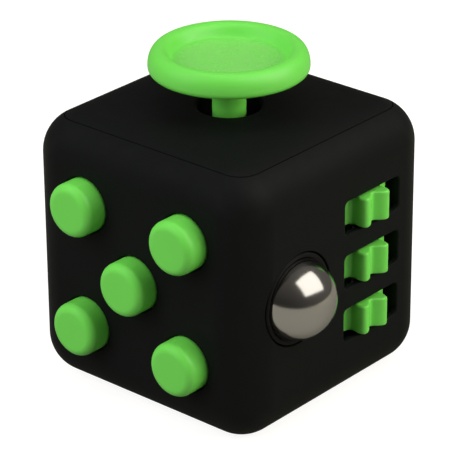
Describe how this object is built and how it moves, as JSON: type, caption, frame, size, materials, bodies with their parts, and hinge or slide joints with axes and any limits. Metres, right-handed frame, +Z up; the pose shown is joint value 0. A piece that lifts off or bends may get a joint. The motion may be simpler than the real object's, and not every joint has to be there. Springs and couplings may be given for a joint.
{
  "type": "fidget cube",
  "caption": "Black rounded cube with green push buttons, tilting joystick, thumb gears, steel ball, rocker, dial and a thumb dish, one toy on each face.",
  "frame": {"origin": "middle of the flat bottom face, on the surface that the cube rests on", "axes": "+Z up through the joystick, -Y out of the button face, +X out of the face with the gears and the ball"},
  "size_m": [0.0388, 0.0379, 0.04],
  "materials": {
    "black_shell": "satin black moulded plastic",
    "green_plastic": "semi-gloss green moulded plastic",
    "black_inner": "matte black moulded plastic",
    "grey_inner": "matte dark grey moulded plastic",
    "silicone": "soft translucent grey silicone",
    "black_rubber": "matte black rubber",
    "polished_steel": "polished steel",
    "spring_steel": "bright spring steel",
    "screw_steel": "zinc-plated steel"
  },
  "bodies": {
    "housing": {"body_shell": "black_shell", "top_cover": "black_shell", "click_mat": "silicone", "snap_domes": "spring_steel", "click_plate": "grey_inner", "click_screws": "screw_steel", "joystick_frame": "grey_inner", "centring_spring": "spring_steel", "dust_boot": "black_rubber", "joystick_screws": "screw_steel", "gear_shaft": "polished_steel", "gear_detent_spring": "spring_steel", "ball_spring": "spring_steel", "roll_carrier": "grey_inner", "roll_screws": "screw_steel", "flip_pin": "screw_steel", "flip_leaf_spring": "spring_steel", "flip_bracket": "grey_inner", "flip_screws": "screw_steel", "dial_detent_spring": "spring_steel"},
    "joystick": {"joystick": "green_plastic", "stem_pin": "screw_steel"},
    "gimbal": {"gimbal_ring": "grey_inner"},
    "ball_cup": {"ball_cup": "black_inner"},
    "ball": {"steel_ball": "polished_steel"},
    "rocker": {"flip_rocker": "green_plastic"},
    "dial": {"spin_dial": "green_plastic", "dial_detent_wheel": "grey_inner", "dial_screw": "screw_steel"},
    "button_1": {"click_button_1": "green_plastic"},
    "button_2": {"click_button_2": "green_plastic"},
    "button_3": {"click_button_3": "green_plastic"},
    "button_4": {"click_button_4": "green_plastic"},
    "button_5": {"click_button_5": "green_plastic"},
    "gear_1": {"gear_1": "green_plastic"},
    "gear_2": {"gear_2": "green_plastic"},
    "gear_3": {"gear_3": "green_plastic"}
  },
  "joints": [
    {"name": "button_1_press", "type": "slide", "parent": "housing", "child": "button_1", "axis": [0, 1, 0], "range_m": [0, 0.001], "stiffness_N_per_m": 900, "springref_m": -0.0006, "deforming": ["click_mat", "snap_domes"]},
    {"name": "button_2_press", "type": "slide", "parent": "housing", "child": "button_2", "axis": [0, 1, 0], "range_m": [0, 0.001], "stiffness_N_per_m": 900, "springref_m": -0.0006, "deforming": ["click_mat"]},
    {"name": "button_3_press", "type": "slide", "parent": "housing", "child": "button_3", "axis": [0, 1, 0], "range_m": [0, 0.001], "stiffness_N_per_m": 900, "springref_m": -0.0006, "deforming": ["click_mat", "snap_domes"]},
    {"name": "button_4_press", "type": "slide", "parent": "housing", "child": "button_4", "axis": [0, 1, 0], "range_m": [0, 0.001], "stiffness_N_per_m": 900, "springref_m": -0.0006, "deforming": ["click_mat"]},
    {"name": "button_5_press", "type": "slide", "parent": "housing", "child": "button_5", "axis": [0, 1, 0], "range_m": [0, 0.001], "stiffness_N_per_m": 900, "springref_m": -0.0006, "deforming": ["click_mat", "snap_domes"]},
    {"name": "joystick_tilt_x", "type": "hinge", "parent": "housing", "child": "gimbal", "pos_m": [0, 0, 0.0255], "axis": [1, 0, 0], "range_deg": [-8, 8], "stiffness_Nm_per_rad": 0.03, "deforming": ["centring_spring", "dust_boot"]},
    {"name": "joystick_tilt_y", "type": "hinge", "parent": "gimbal", "child": "joystick", "pos_m": [0, 0, 0.0255], "axis": [0, 1, 0], "range_deg": [-8, 8], "stiffness_Nm_per_rad": 0.03},
    {"name": "gear_1_roll", "type": "hinge", "parent": "housing", "child": "gear_1", "pos_m": [0.0138, 0.0056, 0.02325], "axis": [0, 0, 1], "continuous": true, "deforming": ["gear_detent_spring"]},
    {"name": "gear_2_roll", "type": "hinge", "parent": "housing", "child": "gear_2", "pos_m": [0.0138, 0.0056, 0.0165], "axis": [0, 0, 1], "continuous": true, "deforming": ["gear_detent_spring"]},
    {"name": "gear_3_roll", "type": "hinge", "parent": "housing", "child": "gear_3", "pos_m": [0.0138, 0.0056, 0.00975], "axis": [0, 0, 1], "continuous": true, "deforming": ["gear_detent_spring"]},
    {"name": "ball_press", "type": "slide", "parent": "housing", "child": "ball_cup", "axis": [-1, 0, 0], "range_m": [0, 0.001], "stiffness_N_per_m": 900, "springref_m": -0.0006, "deforming": ["ball_spring"]},
    {"name": "ball_roll", "type": "hinge", "parent": "ball_cup", "child": "ball", "pos_m": [0.0159, -0.0075, 0.0165], "axis": [0, 0, 1], "continuous": true},
    {"name": "rocker_flip", "type": "hinge", "parent": "housing", "child": "rocker", "pos_m": [0, 0.0141, 0.0165], "axis": [1, 0, 0], "range_deg": [0, 16], "deforming": ["flip_leaf_spring"]},
    {"name": "dial_spin", "type": "hinge", "parent": "housing", "child": "dial", "pos_m": [-0.0165, 0, 0.0165], "axis": [-1, 0, 0], "continuous": true, "deforming": ["dial_detent_spring"]}
  ]
}
